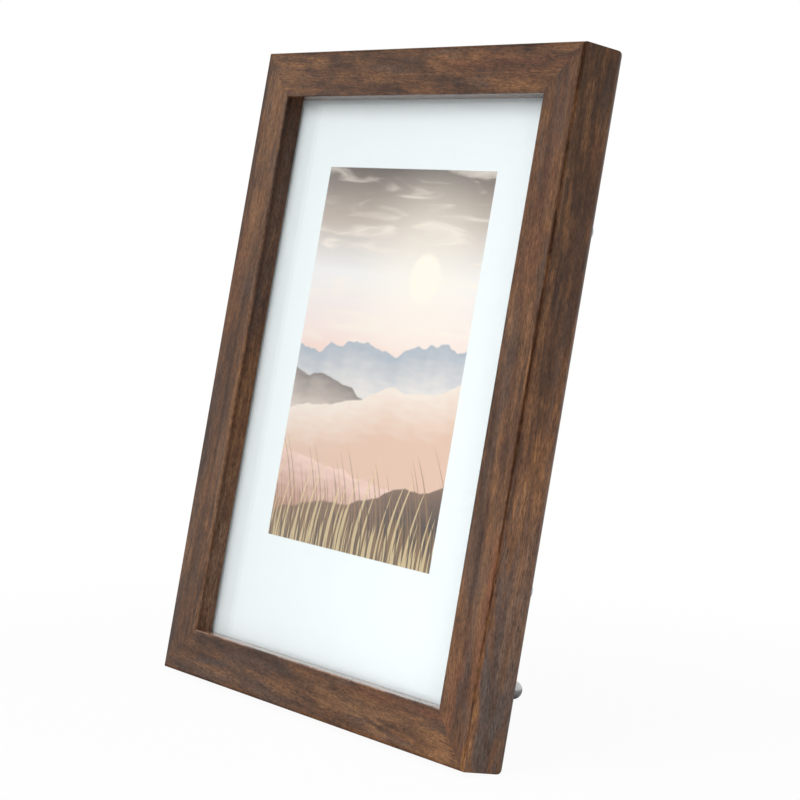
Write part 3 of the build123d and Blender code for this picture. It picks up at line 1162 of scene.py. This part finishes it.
@dataclass
class Studio:
    """A white floor, soft light and the white room around them."""

    floor_size: float = 12.0
    floor_paint: str = "#EDEDED"
    floor_white: Pair = (0.95, 1.0)
    floor_in_metal: float = 0.0
    floor_reach: Pair = (0.1, 0.34)
    bright_side: Triple = (-0.55, -0.75, 0.36)
    room_light: Pair = (0.07, 0.47)
    room_turn: float = 0.7
    lamps: tuple[Lamp, ...] = (
        Lamp("front softbox", (-0.1, -1.2, 0.9), (0.0, 0.0, 0.1), (0.9, 0.9), 8.6),
        Lamp("overhead softbox", (0.0, -0.2, 1.35), (0.0, 0.0, 0.1), (1.1, 1.1), 4.2),
        Lamp("low card", (0.28, -0.14, 0.03), (0.03, -0.03, 0.03), (0.3, 0.06), 0.6, mirrored=False),
    )

    def white_to_eye(self, tree: Tree) -> Socket:
        """Add the share of rays that come from the eye, straight or by way of metal and glass.

        Args:
            tree: Node tree of the floor or the room.

        Returns:
            The share.
        """
        path = add(tree, "LightPath").node.outputs
        share = path["Is Camera Ray"]
        for ray in ("Is Glossy Ray", "Is Transmission Ray"):
            share = add(tree, "Math", (share, path[ray]), operation="MAXIMUM")
        direct = add(tree, "Math", (path["Diffuse Depth"], 0.5), operation="LESS_THAN")
        return add(tree, "Math", (share, direct), operation="MULTIPLY")

    def build_floor(self) -> None:
        """Lay the floor: white to the eye, with the object's soft shadow on it."""
        half = self.floor_size / 2
        mesh = bpy.data.meshes.new("studio_floor")
        corners = [(-half, -half, 0), (half, -half, 0), (half, half, 0), (-half, half, 0)]
        mesh.from_pydata(corners, [], [(0, 1, 2, 3)])
        floor = bpy.data.objects.new("studio_floor", mesh)
        bpy.context.scene.collection.objects.link(floor)
        material = bpy.data.materials.new("painted floor, matt white")
        material.use_nodes = True
        tree = material.node_tree
        tree.nodes.clear()
        matt = add(tree, "BsdfDiffuse", {"Color": linear(self.floor_paint)})
        glow = add(tree, "Emission", {"Strength": 1.0})
        point = add(tree, "TexCoord", out="Object")
        away = add(tree, "VectorMath", (point,), out="Value", operation="LENGTH")
        (near, far), (low, high) = self.floor_reach, self.floor_white
        mirrored = add(tree, "LightPath", out="Is Glossy Ray")
        low = add(tree, "Mix", {0: mirrored, 2: low, 3: self.floor_in_metal})
        white = fade(tree, (away, (near, low), (far, high)))
        share = add(tree, "Math", (self.white_to_eye(tree), white), operation="MULTIPLY")
        mixed = add(tree, "MixShader", (share, matt, glow))
        add(tree, "OutputMaterial", {"Surface": mixed})
        mesh.materials.append(material)

    def build_room(self) -> None:
        """Light the room softly from its bright side and show it white to the eye."""
        world = bpy.data.worlds.new("white room")
        bpy.context.scene.world = world
        world.use_nodes = True
        tree = world.node_tree
        tree.nodes.clear()
        way = add(tree, "TexCoord", out="Generated")
        facing = add(tree, "VectorMath", (way, self.bright_side), out="Value", operation="DOT_PRODUCT")
        dim, bright = self.room_light
        light = fade(tree, (facing, (-self.room_turn, dim), (self.room_turn, bright)))
        strength = add(tree, "Mix", {0: self.white_to_eye(tree), 2: light, 3: 1.0})
        room = add(tree, "Background", {"Color": linear("#FFFFFF"), "Strength": strength})
        add(tree, "OutputWorld", {"Surface": room})

    def build_lamps(self) -> None:
        """Hang the softboxes."""
        for lamp in self.lamps:
            light = bpy.data.lights.new(lamp.name, "AREA")
            light.shape = "RECTANGLE"
            light.size, light.size_y = lamp.size
            light.energy = lamp.watts
            box = bpy.data.objects.new(lamp.name, light)
            box.location = lamp.place
            box.rotation_mode = "QUATERNION"
            facing = Vector(lamp.aim) - Vector(lamp.place)
            box.rotation_quaternion = facing.to_track_quat("-Z", "Y")
            box.visible_camera = False
            box.visible_transmission = False
            box.visible_glossy = lamp.mirrored
            bpy.context.scene.collection.objects.link(box)
            log.info("lamp %s", lamp.name)

    def build(self) -> None:
        """Set up floor, room and lamps."""
        self.build_floor()
        self.build_room()
        self.build_lamps()
        bpy.context.scene.view_settings.view_transform = "Standard"


@dataclass
class PhotoCamera:
    """The photograph's camera, found from the frame's edges."""

    place_mm: Triple = (633.98, -488.55, 167.27)
    turn_deg: Triple = (87.0862, -2.8505, 54.7364)
    focal_px: float = 2409.8
    image_px: float = 800.0
    axis_px: Pair = (339.9, 327.4)
    sensor_mm: float = 36.0

    def build(self) -> None:
        """Place the camera and make it the scene's own."""
        data = bpy.data.cameras.new("photo camera")
        data.sensor_width = self.sensor_mm
        data.lens = self.focal_px / self.image_px * self.sensor_mm
        data.shift_x = 0.5 - self.axis_px[0] / self.image_px
        data.shift_y = self.axis_px[1] / self.image_px - 0.5
        camera = bpy.data.objects.new("photo camera", data)
        camera.location = Vector(self.place_mm) * MM
        camera.rotation_euler = Euler(tuple(math.radians(angle) for angle in self.turn_deg), "XYZ")
        bpy.context.scene.collection.objects.link(camera)
        bpy.context.scene.camera = camera


def dress(piece: bpy.types.Object, material: bpy.types.Material) -> None:
    """Give a piece one material.

    Args:
        piece: Object with a mesh.
        material: Its finish.
    """
    piece.data.materials.clear()
    piece.data.materials.append(material)
    log.info("%s: %s", piece.name, material.name)


def seat(piece: bpy.types.Object, node: str) -> None:
    """Put a new piece on the frame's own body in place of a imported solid.

    Args:
        piece: New object.
        node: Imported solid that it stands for.
    """
    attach(piece, ROOT_BODY)
    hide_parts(node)
    log.info("%s stands for %s", piece.name, node)


def main() -> None:
    """Build and dress the frame, then set up studio and camera."""
    logging.basicConfig(level=logging.INFO, format="%(name)s: %(message)s")
    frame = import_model()
    nodes, joints = frame["nodes"], frame["joints"]
    stance = Stance.from_joints(joints)
    for assembly in (
        Moulding(stance),
        Glazing(stance),
        PinStand(stance),
        TurnButtons(stance, joints),
        Hangers(stance, joints),
    ):
        assembly.dress(nodes)
    Studio().build()
    PhotoCamera().build()


if __name__ == "__main__":
    main()
